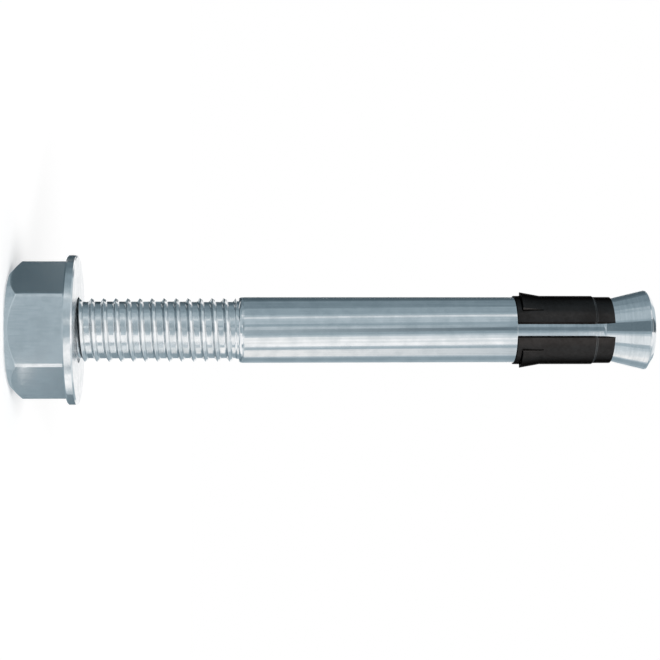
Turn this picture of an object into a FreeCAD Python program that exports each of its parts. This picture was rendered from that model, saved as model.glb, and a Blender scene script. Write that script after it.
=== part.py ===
import FreeCAD, Part
import math
import os

# A nail anchor of the wedge kind: a threaded bolt that ends in a flared cone, a slit expansion clip round
# the bolt's neck, a plain washer and a hexagon nut.
# It stands on the nut's outer end: z is 0 there, +Z runs along the bolt to the cone, and the clip's slit
# and one flat of the nut face -Y. Lengths are in millimetres and angles in degrees.

# Nut
nut_sides = 6
nut_across_flats = 10.0
nut_height = 4.75
nut_end_diameter = 9.45
nut_chamfer_angle = 44.0
nut_edge_radius = 0.35
nut_countersink_diameter = 5.9
nut_countersink_depth = 0.45

# Washer
washer_diameter = 12.5
washer_thickness = 0.8
washer_edge_chamfer = 0.12
washer_bore_clearance = 0.1

# Thread of the bolt, right-hand, with narrow crests and wide shallow roots
thread_diameter = 5.3
thread_pitch = 1.0
thread_depth = 0.28
thread_crest_width = 0.2
thread_root_width = 0.4
thread_length = 18.4
thread_crest_z = 0.13
stud_end_chamfer = 0.35

# Thread of the nut: how far its walls stay off the bolt's crests and roots, and, along the axis, its flanks
nut_root_clearance = 0.08
nut_crest_clearance = 0.11
nut_flank_clearance = 0.08

# Shank, neck and cone of the bolt
runout_diameter = 4.88
runout_length = 0.49
shank_diameter = 5.54
shank_length = 23.1
shank_lead_diameter = 5.22
shank_lead_length = 0.8
neck_diameter = 4.92
neck_length = 7.4
cone_diameter = 6.76
cone_half_angle = 14.1
cone_land = 0.12
cone_end_diameter = 5.76
cone_chamfer_length = 0.4

# Expansion clip: rolled sheet, with tabs lanced out of it and bent outwards
clip_length = 8.14
clip_wall = 0.4
clip_clearance = 0.03
clip_band_length = 1.54
clip_band_step = 0.09
slit_width = 1.3
tab_count = 3
tab_width = 2.45
tab_length = 1.75
tab_setback = 0.45
tab_flare = 0.31
tab_kerf = 0.08

# Gap between end faces that lie against each other
seat_gap = 0.03

# The slit's direction round the bolt, measured from +X
slit_angle = -90.0

# How far a cutting tool reaches past what it cuts, and how finely the thread's path is divided
overcut = 1.0
helix_pieces_per_turn = 3

full_turn = 360.0
origin = FreeCAD.Vector(0, 0, 0)
up = FreeCAD.Vector(0, 0, 1)

# Where each stretch of the bolt ends, from the stud's end to the cone's end
shoulder_z = thread_length + runout_length
neck_z = shoulder_z + shank_length
cone_z = neck_z + neck_length
cone_slope = math.tan(math.radians(cone_half_angle))
land_z = cone_z + (cone_diameter - neck_diameter) / 2 / cone_slope
end_chamfer_z = land_z + cone_land
bolt_end_z = end_chamfer_z + cone_chamfer_length

# Heights of the pieces on the bolt
washer_z = nut_height + seat_gap
clip_z = neck_z + seat_gap
clip_end_z = clip_z + clip_length

thread_radius = thread_diameter / 2
thread_root_radius = thread_radius - thread_depth

# A crest a pitch below the first one on the stud, where the sweeps start, outside what they cut
thread_start_z = thread_crest_z - thread_pitch

clip_bore_radius = neck_diameter / 2 + clip_clearance
clip_radius = clip_bore_radius + clip_wall


def at(radius, z):
    """A point of a section, in the plane that holds the bolt's axis and +X."""
    return FreeCAD.Vector(radius, 0, z)


def outline(points):
    """A closed wire of straight edges through (radius, z) points."""
    corners = [at(radius, z) for radius, z in points]
    return Part.makePolygon(corners + corners[:1])


def turned(points, turn=full_turn):
    """A solid turned about Z from a closed outline of (radius, z) points."""
    return Part.Face(outline(points)).revolve(origin, up, turn)


def along_thread(section, low_z, high_z):
    """Sweeps a section, drawn with its middle at z = 0, up the thread's helix from low_z to high_z.

    The path is made of equal short pieces of one helix, because one long piece bends the sweep out of true.
    """
    rise = thread_pitch / helix_pieces_per_turn
    piece = Part.makeHelix(thread_pitch, rise, thread_radius).Edges[0]
    path = []
    for number in range(math.ceil((high_z - low_z) / rise)):
        step = piece.copy()
        step.rotate(origin, up, number * full_turn / helix_pieces_per_turn)
        step.translate(at(0, number * rise))
        path.append(step)
    swept = Part.Wire(path).makePipeShell([section], True, True)
    swept.translate(at(0, low_z))
    return swept


def ridge_half_width(radius):
    """Half the width of the bolt's thread ridge at a radius between its root and its crest."""
    foot_width = thread_pitch - thread_root_width
    height_share = (radius - thread_root_radius) / thread_depth
    return (foot_width + (thread_crest_width - foot_width) * height_share) / 2


def bolt():
    """Thread, shank, neck and cone in one piece, with a helical groove rolled into the stud."""
    blank = turned([
        (0, 0),
        (thread_radius - stud_end_chamfer, 0),
        (thread_radius, stud_end_chamfer),
        (thread_radius, thread_length),
        (runout_diameter / 2, thread_length),
        (runout_diameter / 2, shoulder_z),
        (shank_lead_diameter / 2, shoulder_z),
        (shank_diameter / 2, shoulder_z + shank_lead_length),
        (shank_diameter / 2, neck_z),
        (neck_diameter / 2, neck_z),
        (neck_diameter / 2, cone_z),
        (cone_diameter / 2, land_z),
        (cone_diameter / 2, end_chamfer_z),
        (cone_end_diameter / 2, bolt_end_z),
        (0, bolt_end_z),
    ])
    outside = thread_radius + overcut
    half_mouth = (thread_pitch - thread_crest_width) / 2
    section = outline([
        (thread_root_radius, -thread_root_width / 2),
        (thread_root_radius, thread_root_width / 2),
        (thread_radius, half_mouth),
        (outside, half_mouth),
        (outside, -half_mouth),
        (thread_radius, -half_mouth),
    ])
    groove = along_thread(section, thread_start_z - thread_pitch / 2, thread_length)
    return blank.cut(groove)


def hex_prism():
    """The nut's six sides, with their lengthwise edges rounded."""
    corner_radius = nut_across_flats / 2 / math.cos(math.pi / nut_sides)
    corners = []
    for corner in range(nut_sides):
        angle = math.radians(corner * full_turn / nut_sides)
        corners.append(FreeCAD.Vector(corner_radius * math.cos(angle), corner_radius * math.sin(angle), 0))
    prism = Part.Face(Part.makePolygon(corners + corners[:1])).extrude(up * nut_height)
    uprights = [edge for edge in prism.Edges if edge.BoundBox.ZLength > nut_height / 2]
    return prism.makeFillet(nut_edge_radius, uprights)


def nut():
    """Hexagon, turned chamfer on the outer end, countersinks at both ends of the bore, and the thread."""
    end_radius = nut_end_diameter / 2
    outside = nut_across_flats
    chamfer_reach = (outside - end_radius) * math.tan(math.radians(nut_chamfer_angle))
    chamfered = turned([
        (0, 0),
        (end_radius, 0),
        (outside, chamfer_reach),
        (outside, chamfer_reach + nut_height),
        (0, chamfer_reach + nut_height),
    ])
    bore_radius = thread_root_radius + nut_crest_clearance
    sink_radius = nut_countersink_diameter / 2
    bore = turned([
        (0, -overcut),
        (sink_radius, -overcut),
        (sink_radius, 0),
        (bore_radius, nut_countersink_depth),
        (bore_radius, nut_height - nut_countersink_depth),
        (sink_radius, nut_height),
        (sink_radius, nut_height + overcut),
        (0, nut_height + overcut),
    ])
    half_mouth = ridge_half_width(bore_radius) + nut_flank_clearance
    half_bottom = thread_crest_width / 2 + nut_flank_clearance
    section = outline([
        (thread_radius + nut_root_clearance, -half_bottom),
        (thread_radius + nut_root_clearance, half_bottom),
        (bore_radius, half_mouth),
        (thread_root_radius, half_mouth),
        (thread_root_radius, -half_mouth),
        (bore_radius, -half_mouth),
    ])
    groove = along_thread(section, thread_start_z, nut_height + thread_pitch)
    return hex_prism().common(chamfered).cut(bore).cut(groove)


def washer():
    """A flat ring with its outer edges broken."""
    bore_radius = thread_radius + washer_bore_clearance
    rim_radius = washer_diameter / 2
    top_z = washer_z + washer_thickness
    return turned([
        (bore_radius, washer_z),
        (rim_radius - washer_edge_chamfer, washer_z),
        (rim_radius, washer_z + washer_edge_chamfer),
        (rim_radius, top_z - washer_edge_chamfer),
        (rim_radius - washer_edge_chamfer, top_z),
        (bore_radius, top_z),
    ])


def wedge(middle_angle, width_angle, radius, low_z, high_z):
    """A slice of a round bar, used to cut a window that spans width_angle."""
    cutter = turned([(0, low_z), (radius, low_z), (radius, high_z), (0, high_z)], width_angle)
    cutter.rotate(origin, up, middle_angle - width_angle / 2)
    return cutter


def tab(middle_angle, width_angle, free_z, root_z):
    """A lanced tab: it leaves the clip's wall at root_z and stands out by tab_flare at free_z."""
    leaf = turned([
        (clip_radius, root_z),
        (clip_radius + tab_flare, free_z),
        (clip_radius + tab_flare - clip_wall, free_z),
        (clip_bore_radius, root_z),
    ], width_angle)
    leaf.rotate(origin, up, middle_angle - width_angle / 2)
    return leaf


def clip():
    """The rolled sleeve: stepped end band, bevel that lies on the cone, slit, and lanced tabs."""
    band_z = clip_end_z - clip_band_length
    band_radius = clip_radius - clip_band_step
    normal_gap = clip_clearance / math.cos(math.radians(cone_half_angle))
    bevel_radius = neck_diameter / 2 + normal_gap + (clip_end_z - cone_z) * cone_slope
    bevel_z = clip_end_z - (bevel_radius - clip_bore_radius) / cone_slope
    shell = turned([
        (clip_bore_radius, clip_z),
        (clip_radius, clip_z),
        (clip_radius, band_z),
        (band_radius, band_z + clip_band_step),
        (band_radius, clip_end_z),
        (bevel_radius, clip_end_z),
        (clip_bore_radius, bevel_z),
    ])
    slit = Part.makeBox(
        clip_radius + overcut, slit_width, clip_length + 2 * overcut,
        FreeCAD.Vector(0, -slit_width / 2, clip_z - overcut),
    )
    slit.rotate(origin, up, slit_angle)
    shell = shell.cut(slit)

    free_z = clip_z + tab_setback
    root_z = free_z + tab_length
    tab_angle = math.degrees(tab_width / clip_radius)
    kerf_angle = math.degrees(tab_kerf / clip_radius)
    spacing = full_turn / tab_count
    for number in range(tab_count):
        middle = slit_angle + (number + 0.5) * spacing
        window = wedge(middle, tab_angle + 2 * kerf_angle, clip_radius + overcut, free_z - tab_kerf, root_z)
        shell = shell.cut(window).fuse(tab(middle, tab_angle, free_z, root_z))
    return shell.removeSplitter()


os.makedirs("parts", exist_ok=True)
bolt().exportStep("parts/anchor_bolt.step")
nut().exportStep("parts/hex_nut.step")
washer().exportStep("parts/washer.step")
clip().exportStep("parts/expansion_clip.step")
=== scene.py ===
import math

import bmesh
import bpy
from mathutils import Matrix, Vector


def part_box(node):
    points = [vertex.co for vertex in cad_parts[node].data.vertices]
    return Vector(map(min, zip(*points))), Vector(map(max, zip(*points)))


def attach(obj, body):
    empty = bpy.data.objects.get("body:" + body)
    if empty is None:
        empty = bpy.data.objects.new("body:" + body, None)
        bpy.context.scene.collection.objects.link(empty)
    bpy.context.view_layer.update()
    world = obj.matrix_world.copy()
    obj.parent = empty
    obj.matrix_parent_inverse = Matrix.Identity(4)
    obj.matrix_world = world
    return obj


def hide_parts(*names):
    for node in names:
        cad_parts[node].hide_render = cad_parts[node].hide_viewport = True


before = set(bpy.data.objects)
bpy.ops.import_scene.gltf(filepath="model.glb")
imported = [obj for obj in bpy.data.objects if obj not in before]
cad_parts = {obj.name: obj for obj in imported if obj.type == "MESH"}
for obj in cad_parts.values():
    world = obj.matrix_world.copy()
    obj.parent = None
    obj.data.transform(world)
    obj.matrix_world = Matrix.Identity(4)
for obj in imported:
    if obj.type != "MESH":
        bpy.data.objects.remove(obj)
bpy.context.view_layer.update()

# Lengths are in metres and angles in degrees. Directions round the part are measured from -Y, where the
# camera stands, towards +X.
MM = 0.001

# Bolt: the same sizes as its solid, with the rolled thread's true section added. From a narrow crest the
# thread falls steeply towards the nut. Towards the cone it falls gently over a brow, and then steeply.
# A slope is how far the surface falls for each length along the bolt.
PITCH = 1.0 * MM
THREAD_RADIUS = 2.65 * MM
THREAD_DEPTH = 0.28 * MM
NUT_SIDE_SLOPE = 1.6
BROW_SLOPE = 0.68
BROW_WIDTH = 0.23 * MM
CONE_SIDE_SLOPE = 3.0
CREST_ROUNDING = 0.1 * MM
BROW_ROUNDING = 0.04 * MM
ROOT_ROUNDING = 0.12 * MM
CREST_Z = 0.13 * MM
THREAD_END = 18.6 * MM
THREAD_FADE = 0.15 * MM
STUD_END_CHAMFER = 0.35 * MM
RUNOUT_RADIUS = 2.44 * MM
SHOULDER_Z = 18.89 * MM
LEAD_RADIUS = 2.61 * MM
LEAD_LENGTH = 0.8 * MM
SHANK_RADIUS = 2.77 * MM
NECK_Z = 41.99 * MM
NECK_RADIUS = 2.46 * MM
CONE_Z = 49.39 * MM
CONE_RADIUS = 3.38 * MM
CONE_LAND = 0.12 * MM
CONE_CHAMFER = 0.4 * MM
CONE_END_RADIUS = 2.88 * MM

# The lead widens to the shank along a curve, which starts the steeper the higher its power is
LEAD_POWER = 6

# How far back from a corner of the bolt's section its rounding starts
NECK_END_CUT = 0.03 * MM
CONE_FOOT_CUT = 0.15 * MM
LAND_EDGE_CUT = 0.02 * MM
CONE_END_CUT = 0.08 * MM

# How finely the bolt is divided. A guard point lies past each end of a rounding, at this many times its cut.
SEGMENTS = 96
RINGS_PER_PITCH = 40
LEAD_STEPS = 16
ROUNDING_STEPS = 5
GUARD = 1.1
MERGE_DISTANCE = 0.002 * MM
SLIVER_WIDTH = 0.0002 * MM
SHARP_ANGLE = 40


# Shape of the bolt

def smooth_step(share):
    share = min(max(share, 0.0), 1.0)
    return share * share * (3 - 2 * share)


def smooth_least(first, second, rounding):
    """The lesser of two lengths, with the corner where they cross rounded off."""
    near = max(rounding - abs(first - second), 0.0) / rounding
    return min(first, second) - near * near * rounding / 4


def thread_radius_at(turn, z):
    """Radius of the stud's surface at a share of a turn from +X and a height."""
    phase = (z - CREST_Z) / PITCH - turn
    off_crest = (phase - math.floor(phase + 0.5)) * PITCH
    # The crest's rounding takes a quarter of its size off the peak
    peak = THREAD_DEPTH + CREST_ROUNDING / 4
    nut_side = peak + off_crest * NUT_SIDE_SLOPE
    brow = peak - off_crest * BROW_SLOPE
    cone_side = peak - BROW_WIDTH * BROW_SLOPE - (off_crest - BROW_WIDTH) * CONE_SIDE_SLOPE
    ridge = smooth_least(smooth_least(nut_side, brow, CREST_ROUNDING), cone_side, BROW_ROUNDING)
    threaded = THREAD_RADIUS - THREAD_DEPTH - smooth_least(-ridge, 0.0, ROOT_ROUNDING)
    threaded = min(threaded, THREAD_RADIUS - STUD_END_CHAMFER + z)
    faded = smooth_step((z - THREAD_END) / THREAD_FADE)
    return threaded + (RUNOUT_RADIUS - threaded) * faded


def stud_places(turn):
    """(radius, z) of the stud's rings at a share of a turn from +X. The rings follow the thread's helix."""
    places = []
    for ring in range(math.ceil((SHOULDER_Z / PITCH + 1) * RINGS_PER_PITCH) + 1):
        z = (ring / RINGS_PER_PITCH + turn - 1) * PITCH
        z = min(max(z, 0.0), SHOULDER_Z)
        places.append((thread_radius_at(turn, z), z))
    return places


def rounded(corners):
    """Points of a section through (radius, z, cut) corners, each cut back by that length and rounded.

    The guard points keep a rounding's shading off the straight stretches beside it.
    """
    points = []
    for number, (radius, z, cut) in enumerate(corners):
        corner = Vector((radius, z))
        if cut == 0:
            points.append(corner)
            continue
        before = Vector(corners[number - 1][:2])
        after = Vector(corners[number + 1][:2])
        back = (before - corner).normalized() * cut
        ahead = (after - corner).normalized() * cut
        points.append(corner + back * GUARD)
        for step in range(ROUNDING_STEPS + 1):
            share = step / ROUNDING_STEPS
            points.append(corner + back * (1 - share) ** 2 + ahead * share ** 2)
        points.append(corner + ahead * GUARD)
    return points


def shank_section():
    """The bolt's section from the shoulder to the middle of its far end."""
    bolt_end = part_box("anchor_bolt")[1].z
    chamfer_z = bolt_end - CONE_CHAMFER
    lead = []
    for step in range(LEAD_STEPS + 1):
        share = step / LEAD_STEPS
        radius = SHANK_RADIUS - (SHANK_RADIUS - LEAD_RADIUS) * (1 - share) ** LEAD_POWER
        lead.append((radius, SHOULDER_Z + LEAD_LENGTH * share, 0))
    return rounded([
        *lead,
        (SHANK_RADIUS, NECK_Z, NECK_END_CUT),
        (NECK_RADIUS, NECK_Z, NECK_END_CUT),
        (NECK_RADIUS, CONE_Z, CONE_FOOT_CUT),
        (CONE_RADIUS, chamfer_z - CONE_LAND, LAND_EDGE_CUT),
        (CONE_RADIUS, chamfer_z, LAND_EDGE_CUT),
        (CONE_END_RADIUS, bolt_end, CONE_END_CUT),
        (0, bolt_end, 0),
    ])


def bolt_mesh():
    """Stud, shank, neck and cone in one closed mesh of columns, from the middle of one end to the other."""
    section = [tuple(point) for point in shank_section()]
    mesh = bmesh.new()
    columns = []
    for segment in range(SEGMENTS + 1):
        turn = segment / SEGMENTS
        across = math.cos(turn * math.tau)
        along = math.sin(turn * math.tau)
        places = [(0, 0), *stud_places(turn), *section]
        columns.append([mesh.verts.new((radius * across, radius * along, z)) for radius, z in places])
    for left, right in zip(columns, columns[1:]):
        for ring in range(len(left) - 1):
            mesh.faces.new((left[ring], right[ring], right[ring + 1], left[ring + 1]))
    bmesh.ops.remove_doubles(mesh, verts=mesh.verts, dist=MERGE_DISTANCE)
    bmesh.ops.dissolve_degenerate(mesh, dist=SLIVER_WIDTH, edges=mesh.edges)
    bmesh.ops.recalc_face_normals(mesh, faces=mesh.faces)
    return mesh


def make_bolt():
    """The bolt, with one finish on the thread, one on the shank, and one on the neck and the cone."""
    mesh = bolt_mesh()
    for face in mesh.faces:
        z = face.calc_center_median().z
        # 0 on the thread, 1 on the shank, and 2 on the neck and the cone
        face.material_index = int(z > SHOULDER_Z - MERGE_DISTANCE) + int(z > NECK_Z - MERGE_DISTANCE)
    bolt = add_piece("bolt_rolled_and_turned", mesh)
    for material in (thread_zinc(), shank_zinc(), cone_zinc()):
        bolt.data.materials.append(material)
    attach(bolt, "bolt")
    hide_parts("anchor_bolt")


def add_piece(name, mesh):
    """Puts a bmesh into the scene as a smooth object with sharp edges kept."""
    data = bpy.data.meshes.new(name)
    mesh.to_mesh(data)
    mesh.free()
    data.shade_smooth()
    data.set_sharp_from_angle(angle=math.radians(SHARP_ANGLE))
    piece = bpy.data.objects.new(name, data)
    bpy.context.scene.collection.objects.link(piece)
    return piece


# Materials

# Noise lies between 0 and 1 and mostly in this range, which is spread to its whole effect
NOISE_RANGE = (0.3, 0.7)

# A Mix node has several sockets of each name, so those for colours are found by number
MIX_SHARE = 0
MIX_FIRST = 6
MIX_SECOND = 7
MIX_RESULT = 2


class Nodes:
    """A short way to write a node tree. A colour is three numbers, or a node's output."""

    def __init__(self, tree):
        self.tree = tree
        self.tree.nodes.clear()

    def add(self, kind, values=None, **settings):
        """Adds a node with its settings, and fills its inputs with constants or other nodes' outputs."""
        node = self.tree.nodes.new(kind)
        for name, value in settings.items():
            setattr(node, name, value)
        for name, value in (values or {}).items():
            socket = node.inputs[name]
            if isinstance(value, bpy.types.NodeSocket):
                self.tree.links.new(value, socket)
            elif socket.type == "RGBA":
                socket.default_value = (*value, 1.0)
            else:
                socket.default_value = value
        return node

    def surface(self, shader):
        """Makes a shader the material's surface."""
        self.add("ShaderNodeOutputMaterial", {"Surface": shader.outputs[0]})

    def maths(self, operation, *inputs):
        return self.add("ShaderNodeMath", dict(enumerate(inputs)), operation=operation).outputs[0]

    def vector_maths(self, operation, *inputs, output="Vector"):
        return self.add("ShaderNodeVectorMath", dict(enumerate(inputs)), operation=operation).outputs[output]

    def object_place(self):
        return self.add("ShaderNodeTexCoord").outputs["Object"]

    def normal(self):
        return self.add("ShaderNodeTexCoord").outputs["Normal"]

    def height(self, vector):
        """How far a place or a direction reaches along the part's axis."""
        return self.add("ShaderNodeSeparateXYZ", {0: vector}).outputs["Z"]

    def outward(self, place):
        """The way from the part's axis out to a place."""
        return self.vector_maths("MULTIPLY", place, (1, 1, 0))

    def radius(self, place):
        """Distance from the part's axis."""
        return self.vector_maths("LENGTH", self.outward(place), output="Value")

    def facing_up(self):
        """How far the surface faces up, from -1 to 1."""
        return self.height(self.normal())

    def facing_round(self, place):
        """1 where the surface faces along a circle round the part's axis, and 0 where it doesn't."""
        out = self.vector_maths("NORMALIZE", self.outward(place))
        along_circle = self.vector_maths("CROSS_PRODUCT", out, (0, 0, 1))
        facing = self.vector_maths("DOT_PRODUCT", along_circle, self.normal(), output="Value")
        return self.maths("ABSOLUTE", facing)

    def noise(self, place, stretch, detail=3.0, roughness=0.5):
        """Noise between 0 and 1 with this many features a metre along each axis."""
        mapping = self.add("ShaderNodeMapping", {"Vector": place, "Scale": stretch})
        return self.add(
            "ShaderNodeTexNoise",
            {"Vector": mapping.outputs[0], "Scale": 1.0, "Detail": detail, "Roughness": roughness},
        ).outputs["Fac"]

    def spread(self, value, low, high, to_low=0.0, to_high=1.0):
        """Maps low..high to to_low..to_high and stops there."""
        return self.add("ShaderNodeMapRange", {
            "Value": value, "From Min": low, "From Max": high, "To Min": to_low, "To Max": to_high,
        }).outputs[0]

    def clouds(self, noise, strength):
        """Noise as a change up or down by this strength."""
        return self.spread(noise, *NOISE_RANGE, -strength, strength)

    def blend(self, share, first, second):
        """A colour between two colours."""
        values = {MIX_SHARE: share, MIX_FIRST: first, MIX_SECOND: second}
        return self.add("ShaderNodeMix", values, data_type="RGBA").outputs[MIX_RESULT]

    def bump(self, height, distance):
        values = {"Height": height, "Strength": 1.0, "Distance": distance}
        return self.add("ShaderNodeBump", values).outputs[0]


def new_material(name):
    material = bpy.data.materials.new(name)
    material.use_nodes = True
    return material, Nodes(material.node_tree)


# Zinc: its duller and its brighter tone, on plain and on fresh metal, and its clouds. Its roughness changes
# over a wider range of its noise than its colour does.
PLAIN_ZINC = ((0.77, 0.8, 0.82), (0.9, 0.915, 0.93))
FRESH_ZINC = ((0.81, 0.835, 0.85), (0.94, 0.95, 0.96))
CLOUDS_PER_METRE = (900, 900, 900)
CLOUD_STRENGTH = 0.25
ROUGHNESS_RANGE = (0.25, 0.75)

# Thread: painted shade on its flanks towards the nut, and how far down they face where it starts and is full
THREAD_FLANK_SHADE = (0.54, 0.58, 0.6)
FLANK_SHADE_START = -0.45
FLANK_SHADE_FULL = -0.8

# Nut: its chamfered end as in its solid, and a painted highlight on its flats along the chamfer's edge, which
# stands in for the glint of a rounded edge. The highlight is full up to one distance from the chamfer and
# gone at the next.
# The chamfer has none, because it faces further down than the two limits between which the highlight comes
# in.
NUT_END_RADIUS = 4.725 * MM
NUT_CHAMFER_ANGLE = 44
CHAMFER_EDGE_HIGHLIGHT = (0.99, 0.995, 1.0)
HIGHLIGHT_FULL = 0.07 * MM
HIGHLIGHT_END = 0.12 * MM
FACING_UNHIGHLIGHTED = -0.5
FACING_HIGHLIGHTED = -0.3

# Washer: its face within this radius is rougher by this much, with a soft edge
WASHER_FACE_RADIUS = 6.15 * MM
MATT_ROUGHNESS = 0.12
MATT_EDGE = 0.1 * MM

# Clip: its coat, the worn line at its step, which fades out between two distances from the step, and the
# bare sides of its tabs, which lie outside its sleeve and face round it
COAT_DARK = (0.042, 0.037, 0.035)
COAT_PALE = (0.06, 0.054, 0.052)
COAT_ROUGHEST = 0.36
COAT_SMOOTHEST = 0.28
COAT_GRAIN = (3000, 3000, 3000)
COAT_BUMP_HEIGHT = 0.003 * MM
COAT_CLOUDS = (500, 500, 350)
COAT_CLOUD_STRENGTH = 0.3
COAT_RANGE = (0.2, 0.8)
WORN_BLACK = (0.2, 0.195, 0.195)
WEAR_LEAST = 0.35
WEAR_RANGE = (0.35, 0.6)
CLIP_STEP_Z = 48.66 * MM
WEAR_FULL = 0.05 * MM
WEAR_END = 0.12 * MM
CUT_SHEET = (0.07, 0.066, 0.064)
CLIP_RADIUS = 2.9 * MM
CLIP_EDGE = 0.04 * MM
TAB_SIDE_START = 0.5
TAB_SIDE_FULL = 0.7
CLIP_OUTLINE_TINT = (0.25, 0.25, 0.25)


def zinc(name, tones, grain, roughness, bump_height, recolour=None, matt_inside=0.0):
    """Zinc-plated steel: a fine grain over soft clouds of tone.

    tones are its duller and its brighter colour. grain is how many features it has a metre along each axis.
    roughness is its least and its greatest, and bump_height is how far the grain stands up.
    recolour changes the colour in some places. matt_inside is a radius within which the surface is rougher.
    """
    material, nodes = new_material(name)
    place = nodes.object_place()
    fine = nodes.noise(place, grain, detail=4.0, roughness=0.6)
    clouds = nodes.clouds(nodes.noise(place, CLOUDS_PER_METRE), CLOUD_STRENGTH)
    both = nodes.maths("ADD", fine, clouds)
    colour = nodes.blend(nodes.spread(both, *NOISE_RANGE), *tones)
    if recolour:
        colour = recolour(nodes, colour)
    smoothest, roughest = roughness
    rough = nodes.spread(both, *ROUGHNESS_RANGE, roughest, smoothest)
    if matt_inside:
        matt = nodes.spread(nodes.radius(place), matt_inside - MATT_EDGE, matt_inside, MATT_ROUGHNESS, 0.0)
        rough = nodes.maths("ADD", rough, matt)
    nodes.surface(nodes.add("ShaderNodeBsdfPrincipled", {
        "Base Color": colour, "Metallic": 1.0, "Roughness": rough, "Normal": nodes.bump(fine, bump_height),
    }))
    return material


def painted_flank_shade(nodes, colour):
    """Painted shade: the thread's flanks that face down towards the nut are darkened as if shaded."""
    flank = nodes.spread(nodes.facing_up(), FLANK_SHADE_FULL, FLANK_SHADE_START, 1.0, 0.0)
    return nodes.blend(flank, colour, THREAD_FLANK_SHADE)


def painted_chamfer_highlight(nodes, colour):
    """Painted highlight on the nut's flats along their edge with the turned chamfer, for the glint of a
    rounded edge.
    """
    place = nodes.object_place()
    inside_end = nodes.maths("SUBTRACT", NUT_END_RADIUS, nodes.radius(place))
    slope = math.tan(math.radians(NUT_CHAMFER_ANGLE))
    off_chamfer = nodes.maths("MULTIPLY_ADD", inside_end, slope, nodes.height(place))
    edge = nodes.spread(off_chamfer, HIGHLIGHT_FULL, HIGHLIGHT_END, 1.0, 0.0)
    flat = nodes.spread(nodes.facing_up(), FACING_UNHIGHLIGHTED, FACING_HIGHLIGHTED)
    return nodes.blend(nodes.maths("MULTIPLY", edge, flat), colour, CHAMFER_EDGE_HIGHLIGHT)


def thread_zinc():
    return zinc(
        "zinc_thread", FRESH_ZINC, grain=(1500, 1500, 1500), roughness=(0.1, 0.2), bump_height=0.004 * MM,
        # painted shade on the thread's flanks towards the nut
        recolour=painted_flank_shade,
    )


def shank_zinc():
    return zinc(
        "zinc_shank", PLAIN_ZINC, grain=(6000, 6000, 60), roughness=(0.07, 0.13), bump_height=0.002 * MM,
    )


def cone_zinc():
    return zinc(
        "zinc_cone", PLAIN_ZINC, grain=(200, 200, 9000), roughness=(0.07, 0.14), bump_height=0.0015 * MM,
    )


def nut_zinc():
    return zinc(
        "zinc_nut", PLAIN_ZINC, grain=(7000, 7000, 500), roughness=(0.18, 0.26), bump_height=0.002 * MM,
        # painted highlight along the edge of the chamfer
        recolour=painted_chamfer_highlight,
    )


def washer_zinc():
    return zinc(
        "zinc_washer", FRESH_ZINC, grain=(2200, 2200, 1500), roughness=(0.12, 0.2), bump_height=0.003 * MM,
        matt_inside=WASHER_FACE_RADIUS,
    )


def clip_black():
    """Satin black finish on rolled sheet, which stays dark at its outline."""
    material, nodes = new_material("clip_satin_black")
    place = nodes.object_place()
    fine = nodes.noise(place, COAT_GRAIN)
    patches = nodes.noise(place, COAT_CLOUDS)
    both = nodes.maths("ADD", fine, nodes.clouds(patches, COAT_CLOUD_STRENGTH))
    coat = nodes.blend(nodes.spread(both, *COAT_RANGE), COAT_DARK, COAT_PALE)
    off_step = nodes.maths("ABSOLUTE", nodes.maths("SUBTRACT", nodes.height(place), CLIP_STEP_Z))
    at_step = nodes.spread(off_step, WEAR_FULL, WEAR_END, 1.0, 0.0)
    worn = nodes.maths("MULTIPLY", at_step, nodes.spread(patches, *WEAR_RANGE, WEAR_LEAST, 1.0))
    sideways = nodes.spread(nodes.facing_round(place), TAB_SIDE_START, TAB_SIDE_FULL)
    beyond_sleeve = nodes.spread(nodes.radius(place), CLIP_RADIUS, CLIP_RADIUS + CLIP_EDGE)
    tab_side = nodes.maths("MULTIPLY", sideways, beyond_sleeve)
    nodes.surface(nodes.add("ShaderNodeBsdfPrincipled", {
        "Base Color": nodes.blend(tab_side, nodes.blend(worn, coat, WORN_BLACK), CUT_SHEET),
        "Metallic": nodes.maths("SUBTRACT", 1.0, tab_side),
        "Roughness": nodes.spread(both, *COAT_RANGE, COAT_ROUGHEST, COAT_SMOOTHEST),
        "Normal": nodes.bump(fine, COAT_BUMP_HEIGHT),
        "Specular Tint": CLIP_OUTLINE_TINT,
    }))
    return material


def dress(node, material):
    """Gives a CAD node that stays its finish."""
    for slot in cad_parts[node].material_slots:
        slot.material = material


# Studio

# Camera: where the photograph was taken from, with the bolt lying across the picture
LENS = 90.3
SENSOR = 36.0
CAMERA_DISTANCE = 139 * MM
CAMERA_AIM_Z = 26.53 * MM
CAMERA_TURN = 3.38

# Key light: a wide soft sun. Its spread is how many degrees across it looks from the part.
KEY_AZIMUTH = 8
KEY_ELEVATION = 50
KEY_SPREAD = 40
KEY_STRENGTH = 1.7

# How strongly the white surroundings light the part, and how pale the floor is and how much it glows
SURROUNDING_LIGHT = 0.5
FLOOR_COLOUR = (0.8, 0.8, 0.8)
FLOOR_GLOW = 0.3
FLOOR_RADIUS = 0.6
FLOOR_SEGMENTS = 128

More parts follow.
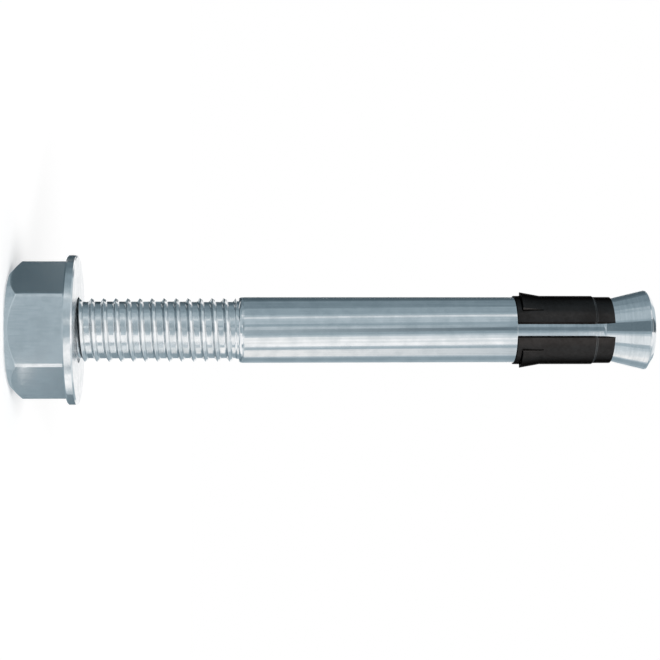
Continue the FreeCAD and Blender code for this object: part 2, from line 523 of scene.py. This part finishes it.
# Grey cards stand round the part, lie under it and hang over it, seen only in its gloss. Each is a stretch of
# azimuth and a level, or two levels, for its foot and its head. White background shows between them.
BACK_CARDS = ((-158, -138, 0.12),)
LOW_SIDE_CARDS = (
    (-138, -123, 0.12), (-123, -115, 0.16), (-115, -77, 0.26), (-77, -50, 0.36), (-50, -43, 0.46),
    (64, 69, 0.58), (69, 77, 0.46), (77, 110, 1.0, 0.45), (110, 117, 0.55), (117, 143, 0.36),
    (143, 165, 0.43),
)
HIGH_SIDE_CARDS = (
    (-135, -95, 0.25), (-95, -60, 0.4), (-60, -36, 0.7), (48, 62, 0.6), (62, 100, 0.75), (100, 167, 0.45),
)
FRONT_WALL_CARDS = (
    (-43, -37, 0.8), (-37, -17, 0.53), (-17, -8, 0.38), (-8, 2, 0.68, 0.4), (2, 14, 0.52, 0.15),
    (14, 23, 0.46, 0.34), (23, 29, 0.58), (29, 40, 0.97, 0.74), (45, 53, 0.97, 0.8),
)
LAND_WALL_CARDS = ((-32, 6, 0.17),)
NECK_WALL_CARDS = ((-48, -12, 0.37), (-12, 2, 0.23), (2, 11, 0.35), (11, 24, 0.53), (24, 48, 0.83))
CONE_FLOOR_CARDS = (
    (-180, -135, 0.28), (-135, -90, 0.2), (-90, -75, 0.3), (-75, -60, 0.39), (-60, -33, 0.49),
    (-33, -27, 0.39), (-27, 4, 0.17), (4, 12, 0.37), (12, 18, 0.6), (18, 45, 0.83), (45, 57, 0.46),
    (57, 84, 0.65), (84, 91, 0.48), (91, 118, 0.32), (118, 158, 0.44), (158, 180, 0.5),
)
THREAD_FLOOR_CARDS = (
    (-180, -131, 0.05), (-131, -94, 0.22), (-94, -72, 0.35), (-72, -53, 0.58), (-53, -40, 0.78),
    (-40, 21, 0.55), (51, 65, 0.44), (65, 104, 0.8), (104, 158, 0.3), (158, 180, 0.5),
)
RIM_FLOOR_CARDS = (
    (-158, -121, 0.085), (-121, -104, 0.17), (-104, -90, 0.24), (-90, -64, 0.29), (-64, -55, 0.4),
    (-55, -46, 0.72), (-46, -36, 0.48), (-36, -27, 0.46), (-27, -16, 0.38), (-16, -8, 0.82),
    (-8, 10, 0.44), (10, 20, 0.74), (51, 60, 0.36), (60, 67, 0.7), (95, 110, 0.62), (110, 158, 0.21),
)
NUT_FLOOR_CARDS = (
    (-180, -158, 0.46), (-158, -131, 0.12), (-123, -92, 0.12), (-92, -60, 0.37), (-60, -12, 0.57),
    (-12, 12, 0.43), (100, 180, 0.33),
)
NEAR_FLOOR_CARDS = ((-180, -50, 0.12), (-50, -10, 0.55), (-10, 30, 0.46), (30, 180, 0.35))
NUT_CHAMFER_CARDS = (
    (-180, -66, 0.27), (-66, -48, 0.34), (-48, -34, 0.42), (-34, -22, 0.49), (-22, 42, 0.54), (42, 180, 0.46),
)
CEILING_CARDS = ((-158, -62, 0.6), (62, 158, 0.75))
END_CHAMFER_CARDS = ((175, 202, 0.1),)
END_CHAMFER_SIDE_CARDS = ((185, 202, 0.57),)

# Where cards stand, lie and hang, and how many degrees of azimuth one facet of a card spans at most
WALL_RADIUS = 0.5
FLOOR_CARD_Z = 0.03 * MM
CEILING_Z = 0.5
CARD_STEP = 4

# Leaning cards shift by this many degrees of azimuth with each degree of elevation
LEAN = -0.9

# A card's red and blue as shares of its level, where that level is 0 and where it is 1
DARK_RED_SHARE = 0.66
PALE_RED_SHARE = 1.02
DARK_BLUE_SHARE = 1.2
PALE_BLUE_SHARE = 0.98


def wall(low_z, high_z):
    """The section of a card that stands round the part."""
    return ((WALL_RADIUS, low_z), (WALL_RADIUS, high_z))


def on_floor(inner_radius, outer_radius):
    """The section of a card that lies under the part."""
    return ((inner_radius, FLOOR_CARD_Z), (outer_radius, FLOOR_CARD_Z))


def overhead(outer_radius, inner_radius):
    """The section of a card that hangs over the part."""
    return ((outer_radius, CEILING_Z), (inner_radius, CEILING_Z))


# Each kind of card: its cards, its section as (radius, z) points, and its lean
CARDS = {
    "back": (BACK_CARDS, wall(0.0, 0.13), LEAN),
    "low_side": (LOW_SIDE_CARDS, wall(0.0, 0.18), LEAN),
    "high_side": (HIGH_SIDE_CARDS, wall(0.18, 0.5), 0.0),
    "front_wall": (FRONT_WALL_CARDS, wall(0.0, 0.129), LEAN),
    "neck_wall": (NECK_WALL_CARDS, wall(0.129, 0.165), 0.0),
    "land_wall": (LAND_WALL_CARDS, wall(0.165, 0.5), 0.0),
    "outer_floor": (THREAD_FLOOR_CARDS, on_floor(0.32, 0.5), 0.0),
    "cone_floor": (CONE_FLOOR_CARDS, on_floor(0.165, 0.32), 0.0),
    "thread_floor": (THREAD_FLOOR_CARDS, on_floor(0.08, 0.165), 0.0),
    "rim_floor": (RIM_FLOOR_CARDS, on_floor(0.047, 0.08), 0.0),
    "nut_floor": (NUT_FLOOR_CARDS, on_floor(0.012, 0.047), 0.0),
    "near_floor": (NEAR_FLOOR_CARDS, on_floor(0.0062, 0.012), 0.0),
    "chamfer_floor": (NUT_CHAMFER_CARDS, on_floor(0.00478, 0.0062), 0.0),
    "ceiling": (CEILING_CARDS, overhead(0.5, 0.12), 0.0),
    "end_chamfer": (END_CHAMFER_CARDS, overhead(0.25, 0.12), 0.0),
    "end_chamfer_side": (END_CHAMFER_SIDE_CARDS, overhead(0.5, 0.25), 0.0),
}


def direction(azimuth, elevation):
    """The unit vector towards an azimuth and elevation."""
    turn = math.radians(azimuth)
    rise = math.radians(elevation)
    return Vector((math.sin(turn) * math.cos(rise), -math.cos(turn) * math.cos(rise), math.sin(rise)))


def sees_background(nodes):
    """1 for the rays that see the white background: camera, glossy and transmission rays."""
    path = nodes.add("ShaderNodeLightPath")
    camera_or_gloss = nodes.maths("MAXIMUM", path.outputs["Is Camera Ray"], path.outputs["Is Glossy Ray"])
    return nodes.maths("MAXIMUM", camera_or_gloss, path.outputs["Is Transmission Ray"])


def make_world():
    world = bpy.data.worlds.new("studio")
    world.use_nodes = True
    bpy.context.scene.world = world
    nodes = Nodes(world.node_tree)
    strength = nodes.spread(sees_background(nodes), 0.0, 1.0, SURROUNDING_LIGHT, 1.0)
    back = nodes.add("ShaderNodeBackground", {"Color": (1, 1, 1), "Strength": strength})
    nodes.add("ShaderNodeOutputWorld", {"Surface": back.outputs[0]})


def make_floor():
    """Plain pale floor, which reads white where it is lit and keeps the part's shadow."""
    material, nodes = new_material("floor_white")
    glow = nodes.spread(sees_background(nodes), 0.0, 1.0, 0.0, FLOOR_GLOW)
    pale = nodes.add("ShaderNodeBsdfDiffuse", {"Color": FLOOR_COLOUR})
    light = nodes.add("ShaderNodeEmission", {"Color": (1, 1, 1), "Strength": glow})
    nodes.surface(nodes.add("ShaderNodeAddShader", {0: pale.outputs[0], 1: light.outputs[0]}))
    mesh = bmesh.new()
    bmesh.ops.create_circle(mesh, cap_ends=True, segments=FLOOR_SEGMENTS, radius=FLOOR_RADIUS)
    floor = add_piece("floor", mesh)
    floor.data.materials.append(material)


def card_colour(level):
    """The darker a card, the bluer it is."""
    red_share = DARK_RED_SHARE + (PALE_RED_SHARE - DARK_RED_SHARE) * level
    blue_share = DARK_BLUE_SHARE + (PALE_BLUE_SHARE - DARK_BLUE_SHARE) * level
    return (level * red_share, level, level * blue_share)


def card_material(name, levels, low_z, high_z):
    """A card's own even colour, or a blend from its foot to its head."""
    material, nodes = new_material(name)
    colour = card_colour(levels[0])
    if len(levels) == 2:
        share = nodes.spread(nodes.height(nodes.object_place()), low_z, high_z)
        colour = nodes.blend(share, colour, card_colour(levels[1]))
    nodes.surface(nodes.add("ShaderNodeEmission", {"Color": colour, "Strength": 1.0}))
    return material


def make_card(name, start, end, levels, section, lean):
    """A sector between two azimuths, swept round Z from a section whose azimuth shifts with its elevation."""
    mesh = bmesh.new()
    steps = math.ceil((end - start) / CARD_STEP)
    rows = []
    for step in range(steps + 1):
        azimuth = start + (end - start) * step / steps
        row = []
        for radius, z in section:
            shift = lean * math.degrees(math.atan2(z, radius))
            row.append(mesh.verts.new(direction(azimuth + shift, 0) * radius + Vector((0, 0, z))))
        rows.append(row)
    for left, right in zip(rows, rows[1:]):
        mesh.faces.new((left[0], right[0], right[1], left[1]))
    card = add_piece(name, mesh)
    card.data.materials.append(card_material(name, levels, section[0][1], section[1][1]))
    for rays in ("camera", "diffuse", "transmission", "volume_scatter", "shadow"):
        setattr(card, f"visible_{rays}", False)


def make_cards():
    for kind, (cards, section, lean) in CARDS.items():
        for number, (start, end, *levels) in enumerate(cards):
            make_card(f"{kind}_card_{number}", start, end, levels, section, lean)


def make_key_light():
    light = bpy.data.lights.new("key", "SUN")
    light.angle = math.radians(KEY_SPREAD)
    light.energy = KEY_STRENGTH
    holder = bpy.data.objects.new("key", light)
    holder.visible_glossy = False
    bpy.context.scene.collection.objects.link(holder)
    holder.rotation_mode = "QUATERNION"
    holder.rotation_quaternion = direction(KEY_AZIMUTH, KEY_ELEVATION).to_track_quat("Z", "Y")


def make_camera():
    data = bpy.data.cameras.new("camera")
    data.lens = LENS
    data.sensor_width = SENSOR
    data.clip_start = MM
    camera = bpy.data.objects.new("camera", data)
    bpy.context.scene.collection.objects.link(camera)
    turn = math.radians(CAMERA_TURN)
    ahead = Vector((0, math.cos(turn), math.sin(turn)))
    right = Vector((0, -math.sin(turn), math.cos(turn)))
    above = Vector((-1, 0, 0))
    place = Vector((0, 0, CAMERA_AIM_Z)) - ahead * CAMERA_DISTANCE
    camera.matrix_world = Matrix.Translation(place) @ Matrix((right, above, -ahead)).transposed().to_4x4()
    bpy.context.scene.camera = camera


make_camera()
make_world()
make_floor()
make_cards()
make_key_light()

make_bolt()
dress("hex_nut", nut_zinc())
dress("washer", washer_zinc())
dress("expansion_clip", clip_black())

bpy.context.scene.view_settings.view_transform = "Standard"
